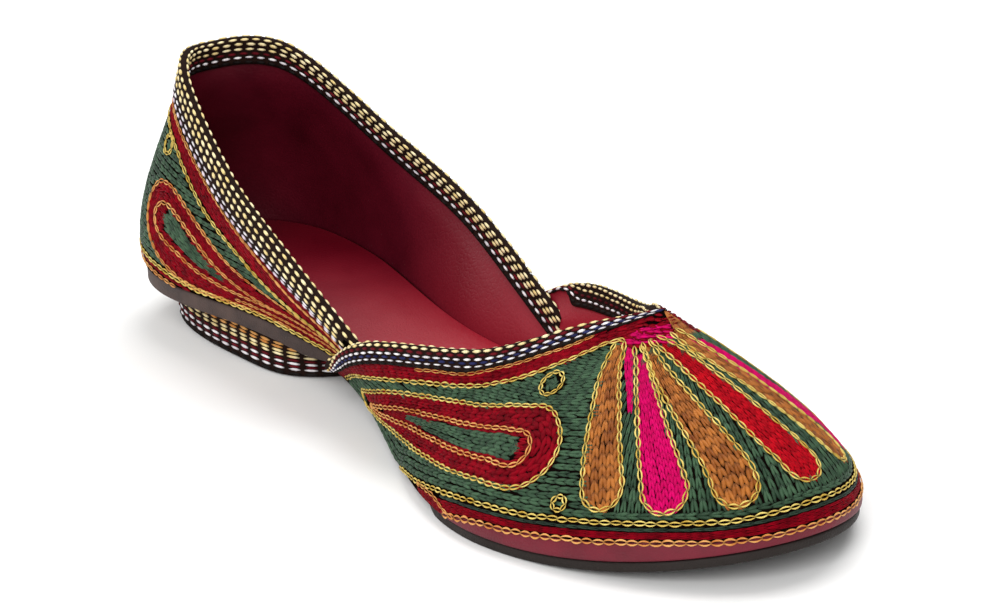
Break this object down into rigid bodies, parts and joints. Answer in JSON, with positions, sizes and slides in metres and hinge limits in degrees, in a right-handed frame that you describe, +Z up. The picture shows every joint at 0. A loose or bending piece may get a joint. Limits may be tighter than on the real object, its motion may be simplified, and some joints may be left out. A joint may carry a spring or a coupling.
{
  "type": "embroidered flat shoe",
  "caption": "Slip-on flat with a pointed-round toe, open sides, low braid-covered heel, braid-bound toplines and chain-stitch embroidery over a leather upper.",
  "frame": {"origin": "middle of the floor under the shoe, at the centre of its bounding box", "axes": "+X towards the toe, +Y to the wearer's left, +Z up from the floor"},
  "size_m": [0.2508, 0.0916, 0.0729],
  "materials": {
    "sole_leather": "dark burnished leather edge",
    "heel_leather": "stacked dark leather",
    "heel_braid": "woven braid with light dashes on dark ground",
    "insole_leather": "smooth crimson leather, lightly glossy",
    "embroidered_upper": "dense chain-stitch embroidery on leather, leather lined",
    "binding_braid": "woven braid folded over the edge"
  },
  "bodies": {
    "root": {"outsole": "sole_leather", "heel": "heel_leather", "heel_cover": "heel_braid", "insole": "insole_leather", "upper": "embroidered_upper", "vamp_binding": "binding_braid", "collar_binding": "binding_braid"}
  },
  "joints": []
}
